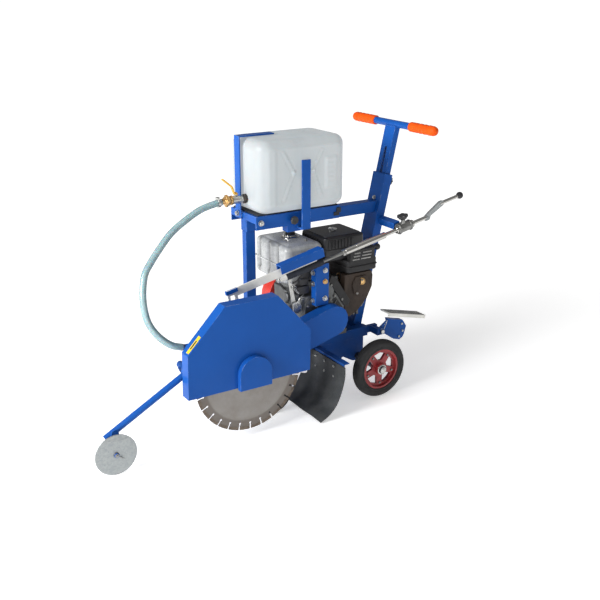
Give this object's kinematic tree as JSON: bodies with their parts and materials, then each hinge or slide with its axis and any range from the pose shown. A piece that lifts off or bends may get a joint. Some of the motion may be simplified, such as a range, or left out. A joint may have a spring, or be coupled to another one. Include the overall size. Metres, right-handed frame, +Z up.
{
  "type": "walk-behind concrete saw",
  "caption": "Walk-behind concrete saw: steel frame on wheels, engine and belt drive, guarded side blade, water tank and hose, crank depth control, guide arm.",
  "frame": {"origin": "centre of the footprint's bounding box, on the ground under the wheels", "axes": "+Z up, the saw cuts towards -Y, the operator stands at +Y, the blade is on the +X side"},
  "size_m": [0.572, 1.6514, 1.0772],
  "materials": {
    "blue_paint": "satin enamel",
    "orange_grip": "matt moulded rubber",
    "black_plastic": "moulded",
    "mat_rubber": "matt",
    "tank_plastic": "translucent blow-moulded",
    "dark_metal": "black fitting",
    "plated_steel": "zinc plated",
    "yellow_lever": "dipped yellow",
    "brass": "cast",
    "hose_pvc": "clear tinted PVC",
    "label": "printed vinyl",
    "blade_steel": "ground",
    "belt_rubber": "matt",
    "engine_alloy": "cast",
    "pulley_iron": "machined",
    "white_paint": "gloss enamel",
    "black_paint": "heat-proof matt",
    "red_paint": "gloss enamel",
    "red_hub": "enamel on cast hub",
    "chrome": "polished",
    "galvanised": "galvanised",
    "tyre_rubber": "solid tyre",
    "flap_rubber": "matt sheet",
    "axle_steel": "dark"
  },
  "bodies": {
    "saw_frame": {"chassis_frame": "blue_paint", "front_post": "blue_paint", "top_beam": "blue_paint", "rear_post": "blue_paint", "tank_tray": "blue_paint", "tank_mat": "mat_rubber", "water_tank": "tank_plastic", "front_strap": "blue_paint", "tank_outlet": "dark_metal", "valve_body": "plated_steel", "hose_nut": "brass", "hose_clamp": "plated_steel", "water_hose": "hose_pvc", "blade_guard": "blue_paint", "hub_cover": "blue_paint", "guard_label": "label", "drive_belt": "belt_rubber", "belt_guard": "blue_paint", "engine_block": "engine_alloy", "fuel_tank": "white_paint", "air_cleaner": "black_plastic", "muffler": "black_paint", "recoil_cover": "red_paint", "crank_bearing": "plated_steel", "guide_bracket": "blue_paint", "rear_axle": "axle_steel", "rear_flap": "flap_rubber", "pedal_pin": "plated_steel"},
    "handle": {"handle_post": "blue_paint", "grip_left": "orange_grip", "grip_right": "orange_grip"},
    "post_knob": {"post_knob": "black_plastic"},
    "tank_cap": {"tank_cap": "tank_plastic"},
    "side_clamp": {"side_clamp": "blue_paint"},
    "clamp_knob": {"clamp_knob": "black_plastic"},
    "valve_lever": {"valve_lever": "yellow_lever"},
    "blade_arbor": {"saw_blade": "blade_steel", "arbor_shaft": "plated_steel", "arbor_clamp": "plated_steel", "blade_pulley": "pulley_iron"},
    "engine_pulley": {"engine_pulley": "pulley_iron"},
    "fuel_cap": {"fuel_cap": "black_plastic"},
    "starter_grip": {"starter_grip": "black_plastic"},
    "throttle_lever": {"throttle_lever": "plated_steel"},
    "control_knob": {"control_knob": "black_plastic"},
    "lock_knob": {"lock_knob": "black_plastic"},
    "crank": {"crank_handle": "chrome", "crank_grip": "black_plastic"},
    "draw_bar": {"draw_bar": "galvanised"},
    "swing_arm": {"swing_arm": "blue_paint"},
    "front_wheel_left": {"front_wheel_left": "tyre_rubber"},
    "front_wheel_right": {"front_wheel_right": "tyre_rubber"},
    "rear_wheel_left": {"rear_tyre_left": "tyre_rubber", "rear_hub_left": "red_hub"},
    "rear_wheel_right": {"rear_tyre_right": "tyre_rubber", "rear_hub_right": "red_hub"},
    "guide_arm": {"guide_arm": "blue_paint"},
    "guide_disc": {"guide_disc": "galvanised"},
    "pedal": {"pedal_arm": "blue_paint", "pedal_plate": "plated_steel"}
  },
  "joints": [
    {"name": "handle_height", "type": "slide", "parent": "saw_frame", "child": "handle", "axis": [0, 0.2198, 0.9755], "range_m": [-0.1, 0.06]},
    {"name": "post_knob_turn", "type": "hinge", "parent": "saw_frame", "child": "post_knob", "pos_m": [-0.022, 0.55927, 0.82875], "axis": [0, 0.9755, -0.2198], "range_deg": [0, 360]},
    {"name": "tank_cap_turn", "type": "hinge", "parent": "saw_frame", "child": "tank_cap", "pos_m": [-0.072, 0.2843, 0.985], "axis": [0, 1, 0], "range_deg": [0, 360]},
    {"name": "side_clamp_slide", "type": "slide", "parent": "saw_frame", "child": "side_clamp", "axis": [1, 0, 0], "range_m": [0, 0.03]},
    {"name": "clamp_knob_turn", "type": "hinge", "parent": "saw_frame", "child": "clamp_knob", "pos_m": [0.088, 0.0423, 0.757], "axis": [1, 0, 0], "range_deg": [0, 360]},
    {"name": "valve_lever_turn", "type": "hinge", "parent": "saw_frame", "child": "valve_lever", "pos_m": [-0.007, -0.1477, 0.86], "axis": [0, 0, 1], "range_deg": [0, 90]},
    {"name": "blade_spin", "type": "hinge", "parent": "saw_frame", "child": "blade_arbor", "pos_m": [0.223, -0.2327, 0.247], "axis": [1, 0, 0], "continuous": true},
    {"name": "engine_spin", "type": "hinge", "parent": "saw_frame", "child": "engine_pulley", "pos_m": [0.138, 0.1743, 0.357], "axis": [1, 0, 0], "continuous": true},
    {"name": "fuel_cap_turn", "type": "hinge", "parent": "saw_frame", "child": "fuel_cap", "pos_m": [-0.06, 0.1173, 0.65], "axis": [0, 0, 1], "range_deg": [0, 90]},
    {"name": "starter_pull", "type": "slide", "parent": "saw_frame", "child": "starter_grip", "axis": [0, 0.5, 0.866], "range_m": [0, 0.3], "stiffness_N_per_m": 20, "springref_m": -0.2},
    {"name": "throttle", "type": "hinge", "parent": "saw_frame", "child": "throttle_lever", "pos_m": [0.082, 0.0943, 0.47], "axis": [1, 0, 0], "range_deg": [-20, 20]},
    {"name": "stop_knob_pull", "type": "slide", "parent": "saw_frame", "child": "control_knob", "axis": [0, 1, 0], "range_m": [0, 0.018]},
    {"name": "lock_knob_turn", "type": "hinge", "parent": "saw_frame", "child": "lock_knob", "pos_m": [0.138, 0.51809, 0.71315], "axis": [0, -0.2053, 0.9787], "range_deg": [0, 360]},
    {"name": "front_swing", "type": "hinge", "parent": "saw_frame", "child": "swing_arm", "pos_m": [-0.022, -0.3507, 0.19], "axis": [1, 0, 0], "range_deg": [0, 17.2]},
    {"name": "draw_slide", "type": "slide", "parent": "saw_frame", "child": "draw_bar", "axis": [0, -0.9787, -0.2053], "range_m": [0, 0.086]},
    {"name": "crank_turn", "type": "hinge", "parent": "saw_frame", "child": "crank", "pos_m": [0.138, 0.5263, 0.674], "axis": [0, 0.9787, 0.2053], "range_deg": [0, 775]},
    {"name": "front_wheel_left_spin", "type": "hinge", "parent": "swing_arm", "child": "front_wheel_left", "pos_m": [0.098, -0.0657, 0.086], "axis": [1, 0, 0], "continuous": true},
    {"name": "front_wheel_right_spin", "type": "hinge", "parent": "swing_arm", "child": "front_wheel_right", "pos_m": [-0.142, -0.0657, 0.086], "axis": [1, 0, 0], "continuous": true},
    {"name": "rear_wheel_left_spin", "type": "hinge", "parent": "saw_frame", "child": "rear_wheel_left", "pos_m": [0.193, 0.3793, 0.12], "axis": [1, 0, 0], "continuous": true},
    {"name": "rear_wheel_right_spin", "type": "hinge", "parent": "saw_frame", "child": "rear_wheel_right", "pos_m": [-0.237, 0.3793, 0.12], "axis": [1, 0, 0], "continuous": true},
    {"name": "guide_fold", "type": "hinge", "parent": "saw_frame", "child": "guide_arm", "pos_m": [0.178, -0.4557, 0.293], "axis": [-1, 0, 0], "range_deg": [0, 115]},
    {"name": "guide_disc_spin", "type": "hinge", "parent": "guide_arm", "child": "guide_disc", "pos_m": [0.223, -0.7507, 0.076], "axis": [1, 0, 0], "continuous": true},
    {"name": "pedal_press", "type": "hinge", "parent": "saw_frame", "child": "pedal", "pos_m": [0.103, 0.4453, 0.24], "axis": [-1, 0, 0], "range_deg": [0, 12], "stiffness_Nm_per_rad": 25, "springref_deg": -17.19}
  ],
  "couplings": [
    {"joint": "draw_slide", "follows": "front_swing", "m_per_rad": 0.28467},
    {"joint": "crank_turn", "follows": "front_swing", "ratio": 44.715},
    {"joint": "engine_spin", "follows": "blade_spin", "ratio": 1.3571}
  ]
}
